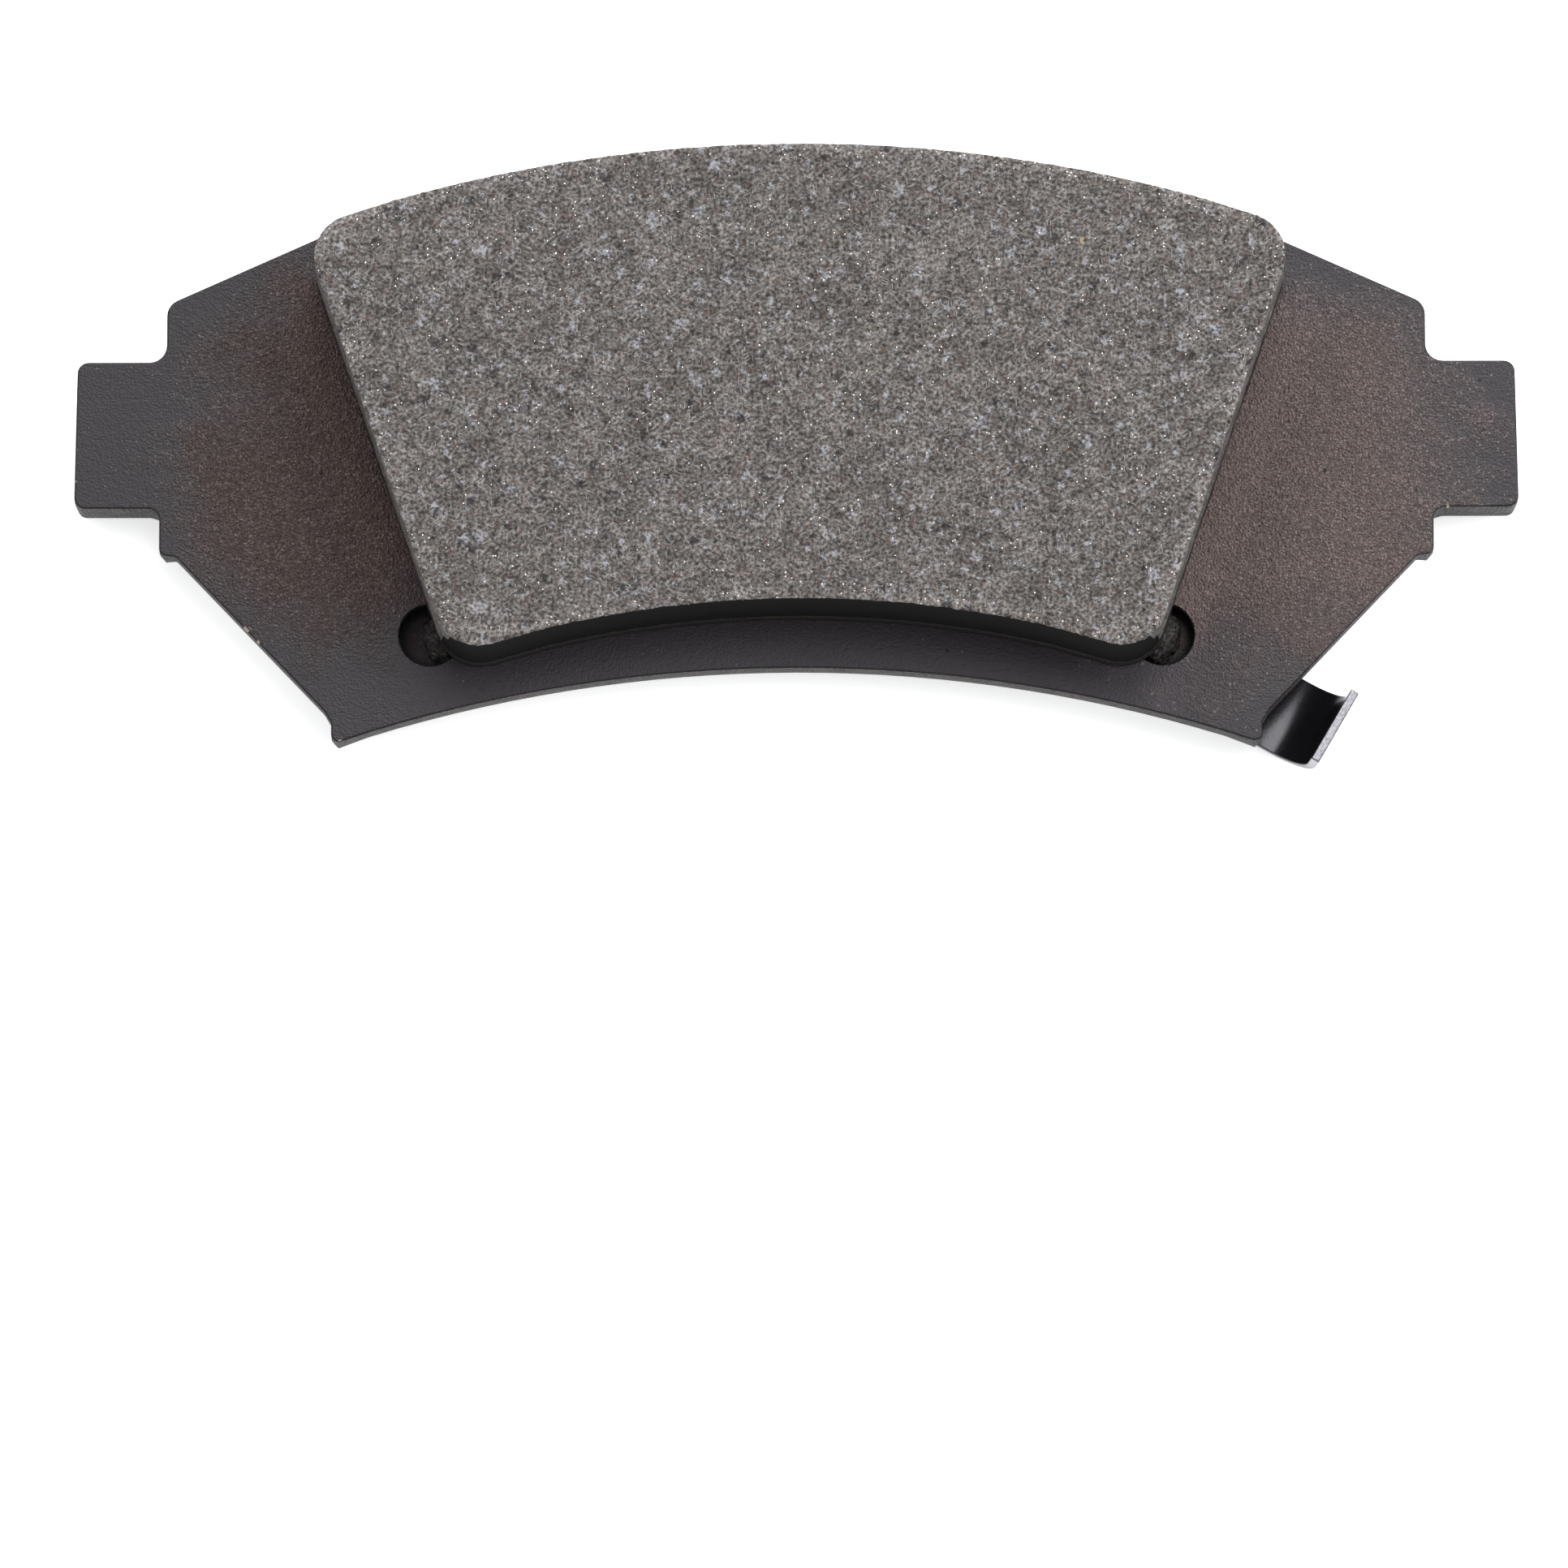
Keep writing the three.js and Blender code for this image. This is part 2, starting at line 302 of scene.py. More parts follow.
def inGrains(tree, vector, size):
    # coordinates counted in grains of size millimetres
    if isinstance(size, bpy.types.NodeSocket):
        return scaledBy(tree, vector, maths(tree, "DIVIDE", 1 / mm, size))
    return scaledBy(tree, vector, 1 / (size * mm))


def cloud(tree, vector, size, detail=2.0, roughness=0.5):
    return addNode(tree, "TexNoise", {"Vector": inGrains(tree, vector, size), "Scale": 1.0,
                                      "Detail": detail, "Roughness": roughness}).outputs[0]


# ---- shared effects ----

def grainGroup():
    # scattered grains: some of the cells of a jittered lattice, each with a soft ragged outline
    tree, given, out = newGroup("scatteredGrains", {
        "Vector": ("vector", None), "Size": ("value", 1.0), "Share": ("value", 0.1),
        "Radius": ("value", 0.45), "Softness": ("value", 0.15), "Raggedness": ("value", 0.5),
        "Shift": ("value", 0.0),
    }, {"Mask": "value", "Random": "value"})
    place = inGrains(tree, given["Vector"], given["Size"])
    shifted = addNode(tree, "VectorMath", {0: place, 1: given["Shift"]}, operation="ADD").outputs[0]
    wobble = addNode(tree, "TexNoise", {"Vector": shifted, "Scale": 2.3, "Detail": 2.0})
    centred = addNode(tree, "VectorMath", {0: wobble.outputs["Color"], 1: (0.5, 0.5, 0.5)},
                      operation="SUBTRACT").outputs[0]
    push = scaledBy(tree, centred, given["Raggedness"])
    warped = addNode(tree, "VectorMath", {0: shifted, 1: push}, operation="ADD").outputs[0]
    cells = addNode(tree, "TexVoronoi", {"Vector": warped, "Scale": 1.0, "Randomness": 1.0})
    draw = addNode(tree, "SeparateColor", {0: cells.outputs["Color"]}).outputs
    inner = maths(tree, "SUBTRACT", given["Radius"], given["Softness"])
    shape = ramp(tree, cells.outputs["Distance"], inner, given["Radius"], 1.0, 0.0)
    chosen = maths(tree, "LESS_THAN", draw[0], given["Share"])
    tree.links.new(maths(tree, "MULTIPLY", shape, chosen), out["Mask"])
    tree.links.new(draw[1], out["Random"])
    return tree


def fibreGroup(grains):
    # short straight fibres that all lie one way, as stretched grains
    tree, given, out = newGroup("choppedFibres", {
        "Vector": ("vector", None), "Turn": ("value", 0.0), "Length": ("value", 1.5),
        "Width": ("value", 0.12), "Share": ("value", 0.1),
    }, {"Mask": "value"})
    turned = addNode(tree, "VectorRotate", {"Vector": given["Vector"], "Angle": given["Turn"]},
                     rotation_type="Z_AXIS").outputs[0]
    parts = addNode(tree, "SeparateXYZ", {0: turned}).outputs
    along = maths(tree, "DIVIDE", parts[0], given["Length"])
    across = maths(tree, "DIVIDE", parts[1], given["Width"])
    place = addNode(tree, "CombineXYZ", {0: along, 1: across, 2: parts[2]}).outputs[0]
    made = useGroup(tree, grains, {"Vector": place, "Size": 1.0, "Share": given["Share"],
                                   "Radius": 0.38, "Softness": 0.2, "Raggedness": 0.12,
                                   "Shift": given["Turn"]})
    tree.links.new(made["Mask"], out["Mask"])
    return tree


def rippleGroup():
    # the height of a powder coat: broad ripples with finer grit on them
    tree, given, out = newGroup("powderRipple", {
        "Vector": ("vector", None), "Ripple": ("value", 1.2), "Grit": ("value", 0.2),
        "Grit Share": ("value", 0.3),
    }, {"Height": "value"})
    broad = addNode(tree, "TexNoise", {"Vector": inGrains(tree, given["Vector"], given["Ripple"]),
                                       "Scale": 1.0, "Detail": 1.0, "Roughness": 0.4}).outputs[0]
    fine = addNode(tree, "TexNoise", {"Vector": inGrains(tree, given["Vector"], given["Grit"]),
                                      "Scale": 1.0, "Detail": 1.0, "Roughness": 0.5}).outputs[0]
    tree.links.new(blendValue(tree, given["Grit Share"], broad, fine), out["Height"])
    return tree


grains = grainGroup()
fibres = fibreGroup(grains)
ripple = rippleGroup()


def newMaterial(name, specular):
    material = bpy.data.materials.new(name)
    material.use_nodes = True
    tree = material.node_tree
    shader = tree.nodes["Principled BSDF"]
    shader.inputs["Specular IOR Level"].default_value = specular
    return material, tree, shader, addNode(tree, "TexCoord").outputs["Object"]


def scatter(tree, where, size, share, radius=0.5, softness=0.28, ragged=0.9, shift=0.0):
    return useGroup(tree, grains, {"Vector": where, "Size": size, "Share": share,
                                   "Radius": radius, "Softness": softness,
                                   "Raggedness": ragged, "Shift": shift})


# ---- friction lining ----

# tone scales the brightness of the whole look; the recess flash uses 0.3 as painted shade
def frictionMaterial(name, coated, tone):
    look = {
        "matrix": (0.102, 0.092, 0.086), "dark": (0.036, 0.032, 0.030),
        "light": (0.190, 0.178, 0.171), "fleck": (0.265, 0.268, 0.295),
        "spot": (0.012, 0.0115, 0.013), "rust": (0.085, 0.042, 0.030),
        "fibre": (0.34, 0.33, 0.32), "glint": (0.72, 0.68, 0.62),
        "brass": (0.26, 0.2, 0.12), "coat": (0.0035, 0.0032, 0.0033),
    }
    material, tree, shader, where = newMaterial(name, 0.09)
    wall = addNode(tree, "Attribute", attribute_name="wallDepth").outputs["Fac"]
    rim = addNode(tree, "Attribute", attribute_name="rimNear").outputs["Fac"]
    crumb = cloud(tree, where, 0.6, 3.0, 0.6)
    edge = ramp(tree, crumb, 0.3, 0.7, 0.05, 0.75)
    ground = ramp(tree, maths(tree, "SUBTRACT", edge, wall), -0.05, 0.05)

    mottle = cloud(tree, where, 3.2, 3.0, 0.55)
    coarse = cloud(tree, where, 0.95, 3.0, 0.6)
    fine = cloud(tree, where, 0.34, 3.0, 0.6)
    colour = blendColour(tree, ramp(tree, fine, 0.36, 0.55), look["dark"], look["matrix"])
    colour = blendColour(tree, ramp(tree, fine, 0.5, 0.72), colour, look["light"])
    shade = maths(tree, "MULTIPLY", ramp(tree, coarse, 0.32, 0.68, 0.72, 1.26),
                  ramp(tree, mottle, 0.3, 0.7, 0.82, 1.18))
    shade = maths(tree, "MULTIPLY", shade, maths(tree, "MULTIPLY_ADD", rim, 0.35, tone))
    colour = scaledBy(tree, colour, shade)

    rust = scatter(tree, where, 0.6, 0.2, shift=71.3)["Mask"]
    colour = blendColour(tree, maths(tree, "MULTIPLY", rust, 0.5), colour,
                         tuple(c * tone for c in look["rust"]))
    for size, share, shift in ((1.25, 0.13, 3.7), (0.6, 0.14, 31.9)):
        spots = scatter(tree, where, size, share, 0.52, 0.34, 1.1, shift)["Mask"]
        colour = blendColour(tree, maths(tree, "MULTIPLY", spots, 0.72), colour, look["spot"])
    patchy = maths(tree, "MULTIPLY", ramp(tree, fine, 0.34, 0.6, 0.15, 0.9), tone)
    for size, share, shift in ((1.6, 0.07, 11.3), (0.9, 0.13, 23.9), (0.55, 0.16, 47.1)):
        flecks = scatter(tree, where, size, share, 0.5, 0.36, 1.5, shift)["Mask"]
        colour = blendColour(tree, maths(tree, "MULTIPLY", flecks, patchy), colour, look["fleck"])
    for turn, length, share in ((0.4, 1.3, 0.1), (1.5, 1.1, 0.09), (2.6, 1.5, 0.09)):
        threads = useGroup(tree, fibres, {"Vector": where, "Turn": turn, "Length": length,
                                          "Width": 0.16, "Share": share})["Mask"]
        colour = blendColour(tree, maths(tree, "MULTIPLY", threads, 0.5 * tone), colour,
                             look["fibre"])
    share = maths(tree, "MULTIPLY_ADD", rim, 0.06, 0.016)
    glints = scatter(tree, where, 0.22, share, 0.42, 0.18, 0.4, 41.1)["Mask"]
    colour = blendColour(tree, glints, colour, look["glint"])
    brass = scatter(tree, where, 2.6, 0.008, 0.13, 0.03, 0.5, 57.7)["Mask"]
    colour = blendColour(tree, brass, colour, look["brass"])
    metal = maths(tree, "MULTIPLY", glints, 0.8)

    rough = blendValue(tree, metal, ramp(tree, fine, 0.3, 0.7, 0.66, 0.9), 0.34)
    relief = blendValue(tree, 0.5, fine, coarse)
    if coated:
        colour = blendColour(tree, ground, look["coat"], colour)
        metal = maths(tree, "MULTIPLY", metal, ground)
        rough = blendValue(tree, ground, 1.0, rough)
        relief = maths(tree, "MULTIPLY", relief, maths(tree, "MULTIPLY_ADD", ground, 0.85, 0.15))
    tree.links.new(colour, shader.inputs["Base Color"])
    tree.links.new(metal, shader.inputs["Metallic"])
    tree.links.new(rough, shader.inputs["Roughness"])
    bump = addNode(tree, "Bump", {"Height": relief, "Strength": 0.8, "Distance": 0.3 * mm})
    tree.links.new(bump.outputs[0], shader.inputs["Normal"])
    return material


def rimNearness(piece, reach, upper=0.9, deepest=1.5):
    # for every vertex, 1 at the lining's upper outline falling to 0 at reach from it; the
    # outline is the upper part of the wall, and nothing below deepest counts as near
    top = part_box("friction_block")[1].z
    vertices = piece.data.vertices
    wall = [v.co.copy() for v in vertices if abs(v.normal.z) < 0.3 and v.co.z > top - upper * mm]
    tree = kdtree.KDTree(len(wall))
    for index, place in enumerate(wall):
        tree.insert((place.x, place.y, 0), index)
    tree.balance()
    nearness = []
    for vertex in vertices:
        if vertex.co.z < top - deepest * mm:
            nearness.append(0.0)
            continue
        distance = tree.find((vertex.co.x, vertex.co.y, 0))[2]
        nearness.append(max(0.0, 1 - distance / (reach * mm)))
    return nearness


def frictionLining():
    size = {"voxel": 0.36, "wear": 1.6, "pit": 0.14, "grit": 0.12, "crumble": 0.32,
            "bare": 0.55, "bareArc": 0.1, "bareFlank": 8.0, "groundBand": 0.2, "rimBand": 0.7}
    flankFrom, flankTo = 0.45, 0.9  # how far sideways a wall faces on the flanks
    lining = copyNode("friction_block", "frictionLining")
    low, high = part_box("friction_block")
    remesh(lining, size["voxel"])
    thinFlat(lining, low.z, -1)
    near = rimNearness(lining, size["wear"])
    vertices = lining.data.vertices
    # how far down the coated side wall a vertex lies, in millimetres; the ground face counts as
    # above it, and the two straight flanks are ground bare almost down to the plate
    depths = []
    for vertex in vertices:
        bare = size["bareArc"] if vertex.normal.y < -0.5 else size["bare"]
        turned = max(0.0, abs(vertex.normal.x) - flankFrom) / (flankTo - flankFrom)
        bare += size["bareFlank"] * min(1.0, turned) ** 2
        depth = (high.z - vertex.co.z) / mm - bare
        depths.append(depth if vertex.normal.z < 0.5 else -bare)
    for name, values in (("rimNear", near), ("wallDepth", depths)):
        attribute = lining.data.attributes.new(name, "FLOAT", "POINT")
        attribute.data.foreach_set("value", values)
    heights = [vertex.co.z for vertex in vertices]
    ground = [1.0 if z > high.z - size["groundBand"] * mm else 0.0 for z in heights]
    crumbly = [max(0.0, n * 1.6 - 0.6) if z > high.z - size["rimBand"] * mm else 0.0
               for n, z in zip(near, heights)]
    weightGroup(lining, "ground", ground)
    weightGroup(lining, "crumbly", crumbly)
    roughen(lining, "groundPits", 0.9, size["pit"], "ground", "Z", 1.0)
    roughen(lining, "groundGrit", 0.4, size["grit"], "ground", "Z", 1.0, 1)
    roughen(lining, "rimCrumbs", 0.8, size["crumble"], "crumbly", "Z", 0.85)
    applyModifiers(lining)
    lining.vertex_groups.clear()
    smooth(lining, 60)
    lining.data.materials.append(frictionMaterial("groundFriction", True, 1.0))
    settle(lining, "friction_material", "friction_block")


def recessFlash(name, side, reach, height, material):
    # lining material that was pressed into a recess under the lining's corner
    size = {"radius": 2.3, "voxel": 0.2, "lump": 0.7, "grit": 0.35, "upwards": 0.3,
            "depth": 2.3, "longer": 1.3}
    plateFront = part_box("backing_plate")[1].z
    bpy.ops.object.select_all(action="DESELECT")
    place = (side * (recess.x - reach * mm), recess.y + size["upwards"] * mm,
             plateFront - size["depth"] * mm)
    bpy.ops.mesh.primitive_uv_sphere_add(segments=32, ring_count=16,
                                         radius=size["radius"] * mm, location=place)
    flash = bpy.context.object
    flash.name = name
    editing(flash)
    bpy.ops.transform.resize(value=(1.0, size["longer"], height / size["radius"]))
    finishEditing()
    bpy.ops.object.transform_apply(location=True, rotation=True, scale=True)
    remesh(flash, size["voxel"])
    weightGroup(flash, "all", [1.0] * len(flash.data.vertices))
    roughen(flash, name + "Lumps", 1.1, size["lump"], "all")
    roughen(flash, name + "Grit", 0.35, size["grit"], "all", depth=1)
    applyModifiers(flash)
    flash.vertex_groups.clear()
    smooth(flash, 60)
    flash.data.materials.append(material)
    settle(flash, "friction_material")


frictionLining()
# painted shade: the flash in the recesses is the friction look darkened to 0.3 for the shade it
# lies in
shadedFlashLook = frictionMaterial("frictionFlashShaded", False, 0.3)
recessFlash("recessFlashLeft", -1, 1.5, 1.5, shadedFlashLook)
recessFlash("recessFlashRight", 1, 0.45, 2.2, shadedFlashLook)
print("friction lining made")


# ---- bonding underlayer ----

def underlayerMaterial():
    look = {"resin": (0.009, 0.0078, 0.007), "brown": (0.045, 0.031, 0.022)}
    material, tree, shader, where = newMaterial("underlayerResin", 0.3)
    specks = scatter(tree, where, 0.45, 0.2, shift=8.1)["Mask"]
    fine = cloud(tree, where, 0.4, 3.0, 0.6)
    colour = blendColour(tree, maths(tree, "MULTIPLY", specks, 0.5), look["resin"], look["brown"])
    tree.links.new(colour, shader.inputs["Base Color"])
    tree.links.new(ramp(tree, fine, 0.3, 0.7, 0.6, 0.8), shader.inputs["Roughness"])
    bump = addNode(tree, "Bump", {"Height": fine, "Strength": 0.6, "Distance": 0.2 * mm})
    tree.links.new(bump.outputs[0], shader.inputs["Normal"])
    return material


def underlayer():
    # the squeezed-out resin makes an uneven lip round the foot of the lining
    size = {"voxel": 0.42, "lip": 0.14, "lipHeight": 0.9}
    layer = copyNode("underlayer", "underlayerResin")
    low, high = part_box("underlayer")
    remesh(layer, size["voxel"])
    thinFlat(layer, low.z, -1)
    thinFlat(layer, high.z, 1)
    lip = []
    for vertex in layer.data.vertices:
        rise = (vertex.co.z - low.z) / (size["lipHeight"] * mm)
        lip.append(max(0.0, 1 - rise) if abs(vertex.normal.z) < 0.9 else 0.0)
    weightGroup(layer, "lip", lip)
    roughen(layer, "lipBroad", 2.2, size["lip"] * 2, "lip", middle=0.4)
    roughen(layer, "lipFine", 0.6, size["lip"], "lip", middle=0.45)
    applyModifiers(layer)
    layer.vertex_groups.clear()
    smooth(layer, 60)
    layer.data.materials.append(underlayerMaterial())
    settle(layer, "underlayer", "underlayer")


underlayer()
print("underlayer made")


# ---- backing plate ----

def coatMaterial():
    look = {
        "cool": (0.0157, 0.0132, 0.0160), "brown": (0.029, 0.0165, 0.0145),
        "sandy": (0.0285, 0.0205, 0.0190),
        "dustAndGlints": (0.175, 0.132, 0.124), "pin": (0.004, 0.004, 0.004),
        "bare": (0.34, 0.27, 0.21), "shade": (0.0035, 0.003, 0.003),
        "sheared": (0.046, 0.040, 0.036),
    }
    material, tree, shader, where = newMaterial("powderCoat", 0.28)
    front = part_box("backing_plate")[1].z
    facing = addNode(tree, "TexCoord").outputs["Normal"]
    up = addNode(tree, "SeparateXYZ", {0: facing}).outputs[2]
    parts = addNode(tree, "SeparateXYZ", {0: where}).outputs
    across = maths(tree, "ABSOLUTE", parts[0])
    drift = cloud(tree, where, 12, 3.0, 0.6)

    # the brown, gritty part of each wing is an oval; towards the right it grows by the second
    # number of each pair
    oval = {"from": -30, "to": 60, "centre": (41, 8), "below": (5, 3), "halfHeight": (24, 2),
            "halfWidth": 25}
    rightward = ramp(tree, parts[0], oval["from"] * mm, oval["to"] * mm)

    def growing(name):
        start, growth = oval[name]
        return maths(tree, "MULTIPLY_ADD", rightward, growth * mm, start * mm)

    def squared(distance, half):
        return maths(tree, "POWER", maths(tree, "DIVIDE", distance, half), 2.0)

    aside = squared(maths(tree, "SUBTRACT", across, growing("centre")), oval["halfWidth"] * mm)
    along = squared(maths(tree, "ADD", parts[1], growing("below")), growing("halfHeight"))
    reach = maths(tree, "ADD", maths(tree, "ADD", aside, along),
                  ramp(tree, drift, 0.25, 0.75, 0.35, -0.35))
    wing = ramp(tree, reach, 0.3, 1.15, 1.0, 0.0)
    # painted light: inside the wings the coat is made up to 1.7 times lighter within 7 mm of the
    # lining's flank, against the lining's shade
    beside = maths(tree, "SUBTRACT", across, maths(tree, "MULTIPLY_ADD", parts[1], flankSlope,
                                                   flankAt))
    beside = maths(tree, "MULTIPLY", ramp(tree, beside, 7 * mm, 0.3 * mm), wing)
    brown = blendColour(tree, rightward, look["brown"], look["sandy"])
    colour = blendColour(tree, wing, look["cool"], brown)
    colour = scaledBy(tree, colour, maths(tree, "MULTIPLY_ADD", beside, 0.7, 1.0))
    # painted sheen: the coat is made up to nearly twice as light towards the right, most inside the
    # wings, for the stronger light from that side
    paintedSheen = maths(tree, "MULTIPLY_ADD", rightward,
                    maths(tree, "MULTIPLY_ADD", wing, 0.7, 0.25), 1.0)
    colour = scaledBy(tree, colour, paintedSheen)
    # painted light: the middle of the plate is made 1.7 times lighter, against the shade the lining
    # casts on the band below it
    strip = ramp(tree, across, 44 * mm, 32 * mm)
    colour = scaledBy(tree, colour, maths(tree, "MULTIPLY_ADD", strip, 0.7, 1.0))
    # pale specks, partly dust and partly painted glints of the gritty coat; there are more of them
    # towards the right, and they are stronger towards the right and beside the lining, as painted
    # light
    share = maths(tree, "MULTIPLY", maths(tree, "MULTIPLY_ADD", wing, 0.62, 0.015),
                  maths(tree, "MULTIPLY_ADD", rightward, 0.6, 0.9))
    share = maths(tree, "MULTIPLY", share, ramp(tree, parts[1], -30 * mm, -16 * mm, 0.2, 1.0))
    for size, shift, strength in ((0.22, 0.0, 0.62), (0.32, 17.7, 0.46)):
        dustAndGlints = scatter(tree, where, size, share, 0.5, 0.3, 0.9, shift)
        stronger = maths(tree, "MULTIPLY_ADD", rightward, 0.7 * strength, strength)
        stronger = maths(tree, "MULTIPLY", stronger,
                         maths(tree, "MULTIPLY_ADD", beside, 0.6, 1.0))
        amount = maths(tree, "MULTIPLY", dustAndGlints["Mask"],
                       maths(tree, "MULTIPLY", dustAndGlints["Random"], stronger))
        colour = blendColour(tree, amount, colour, look["dustAndGlints"])
    pins = scatter(tree, where, 2.3, 0.1, 0.12, 0.05, 0.3, 5.3)["Mask"]
    colour = blendColour(tree, pins, colour, look["pin"])

    # sheared side faces show paler streaks, and the rounded front edge is darkened
    side = ramp(tree, maths(tree, "ABSOLUTE", up), 0.6, 0.35)
    stretch = addNode(tree, "VectorMath", {0: where, 1: (1, 1, 0.22)}, operation="MULTIPLY")
    streaks = cloud(tree, stretch.outputs[0], 0.3, 2.0)
    blotches = cloud(tree, where, 2.1, 3.0)
    paler = blendColour(tree, ramp(tree, blendValue(tree, 0.6, streaks, blotches), 0.3, 0.68),
                        look["cool"], look["sheared"])
    colour = blendColour(tree, side, colour, paler)
    lip = maths(tree, "MULTIPLY", ramp(tree, up, 0.2, 0.5), ramp(tree, up, 0.985, 0.9))
    colour = blendColour(tree, maths(tree, "MULTIPLY", lip, 0.9), colour, look["shade"])

    # paint knocked off the rims, down to bright steel
    chips = ((-47.0, -36.2, 0.32), (-56.6, -24.6, 0.4), (-55.4, -26.0, 0.22), (67.2, -11.9, 0.2),
             (-74.2, -9.0, 0.2), (38.0, -33.2, 0.2))
    ragged = addNode(tree, "TexNoise", {"Vector": inGrains(tree, where, 0.5), "Scale": 1.0,
                                        "Detail": 3.0}).outputs[0]
    atRim = maths(tree, "MULTIPLY", ramp(tree, maths(tree, "ABSOLUTE", up), 0.998, 0.97),
                  ramp(tree, parts[2], front - 0.9 * mm, front - 0.5 * mm))
    for x, y, radius in chips:
        spot = addNode(tree, "CombineXYZ", {0: parts[0], 1: parts[1]}).outputs[0]
        away = addNode(tree, "VectorMath", {0: spot, 1: (x * mm, y * mm, 0)},
                       operation="DISTANCE").outputs["Value"]
        away = maths(tree, "MULTIPLY_ADD", ragged, 1.1 * radius * mm, away)
        chip = ramp(tree, away, 1.5 * radius * mm, 1.3 * radius * mm)
        chip = maths(tree, "MULTIPLY", chip, atRim)
        colour = blendColour(tree, maths(tree, "MULTIPLY", chip, 0.85), colour, look["bare"])

    # painted shade: each recess is darkened, and its outer part, where the wall shades the floor,
    # is painted nearly black
    fromAxis = addNode(tree, "VectorMath", {
        0: addNode(tree, "CombineXYZ", {0: across, 1: parts[1]}).outputs[0],
        1: (recess.x, recess.y, 0)}, operation="DISTANCE").outputs["Value"]
    deep = ramp(tree, parts[2], front - 0.08 * mm, front - 0.35 * mm)
    deep = maths(tree, "MULTIPLY", deep, ramp(tree, fromAxis, 4.2 * mm, 4.0 * mm))
    floorShade = ramp(tree, fromAxis, 2.1 * mm, 3.0 * mm, 0.25, 1.0)
    colour = blendColour(tree, maths(tree, "MULTIPLY", deep, floorShade), colour, look["shade"])
    tree.links.new(colour, shader.inputs["Base Color"])

    rough = blendValue(tree, wing, ramp(tree, drift, 0.3, 0.7, 0.42, 0.48), 0.36)
    rough = blendValue(tree, deep, rough, 0.75)
    tree.links.new(blendValue(tree, side, rough, 0.64), shader.inputs["Roughness"])
    peel = useGroup(tree, ripple, {"Vector": where, "Ripple": 0.55, "Grit": 0.24,
                                   "Grit Share": 0.65})
    relief = maths(tree, "MULTIPLY", peel["Height"], maths(tree, "MULTIPLY_ADD", wing, 0.78, 0.22))
    relief = blendValue(tree, side, relief, streaks)
    bump = addNode(tree, "Bump", {"Height": relief, "Strength": 1.0, "Distance": 0.5 * mm})
    tree.links.new(bump.outputs[0], shader.inputs["Normal"])
    return material


def outlineAt(piece, height):
    # for every vertex of the outline at this height, its two neighbours along the outline
    level = [abs(vertex.co.z - height) < 0.01 * mm for vertex in piece.data.vertices]
    besides = {}
    for face in piece.data.polygons:
        for key in face.edge_keys:
            besides.setdefault(key, []).append(abs(face.normal.z) < 0.7)
    neighbours = {}
    for (first, second), walls in besides.items():
        if level[first] and level[second] and True in walls and False in walls:
            neighbours.setdefault(first, []).append(second)
            neighbours.setdefault(second, []).append(first)
    return {index: pair for index, pair in neighbours.items() if len(pair) == 2}


def tearBack(plate, front, back, size):
    # blanking leaves the upper third of the wall square, and the torn rest slants inwards
    editing(plate)
    bpy.ops.mesh.bisect(plane_co=(0, 0, front - size["sheared"] * mm), plane_no=(0, 0, 1))
    finishEditing()
    vertices = plate.data.vertices
    outline = outlineAt(plate, back)
    outwards, depths = {}, {}
    for index, pair in outline.items():
        place = vertices[index].co
        normal = vertices[index].normal
        outwards[index] = Vector((normal.x, normal.y, 0)).normalized()
        arms = [vertices[other].co - place for other in pair]
        turn = math.pi - arms[0].angle(arms[1])
        bulges = (arms[0].normalized() + arms[1].normalized()).dot(outwards[index]) < 0
        depths[index] = size["tear"]
        if bulges and turn > 0.05:
            # a tight outer corner keeps a little of its radius
            radius = min(arm.length for arm in arms) / turn / mm
            depths[index] = max(0.0, min(size["tear"], radius - size["keep"]))
        if abs(place.x) > size["earFrom"] * mm:
            depths[index] = min(depths[index], size["earTear"])
        if (Vector((abs(place.x), place.y)) - recess).length < size["pipReach"] * mm:
            depths[index] = 0.0
    for _ in range(60):
        # the depth changes slowly along the outline
        for index, pair in outline.items():
            for other in pair:
                if other in depths:
                    apart = (vertices[other].co - vertices[index].co).length / mm
                    depths[index] = min(depths[index], depths[other] + size["slope"] * apart)
    for index, depth in depths.items():
        vertices[index].co -= outwards[index] * depth * mm


def backingPlate():
    size = {"frontRim": 0.22, "backRim": 0.14, "recessRim": 0.16, "small": 0.1, "sheared": 1.9,
            "tear": 0.66, "keep": 0.35, "slope": 0.35, "earFrom": 66.2, "earTear": 0.22,
            "pipReach": 5, "recessReach": 4}
    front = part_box("backing_plate")[1].z
    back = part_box("shim_adhesive")[1].z
    plate = copyNode("backing_plate", "backingPlate")
    tearBack(plate, front, back, size)

    def rimWidth(middle):
        fromRecess = (Vector((abs(middle.x), middle.y)) - recess).length
        if middle.z > front - 0.01 * mm:
            inRecess = fromRecess < size["recessReach"] * mm
            return size["recessRim"] if inRecess else size["frontRim"]
        if abs(middle.z - back) < 0.01 * mm and fromRecess > size["pipReach"] * mm:
            return size["backRim"]
        return size["small"]

    roundRims(plate, rimWidth, 4)
    smooth(plate, 40)
    flattenShading(plate)
    plate.data.materials.append(coatMaterial())
    settle(plate, "powder_coat", "backing_plate")


backingPlate()
print("backing plate made")


# ---- shim ----

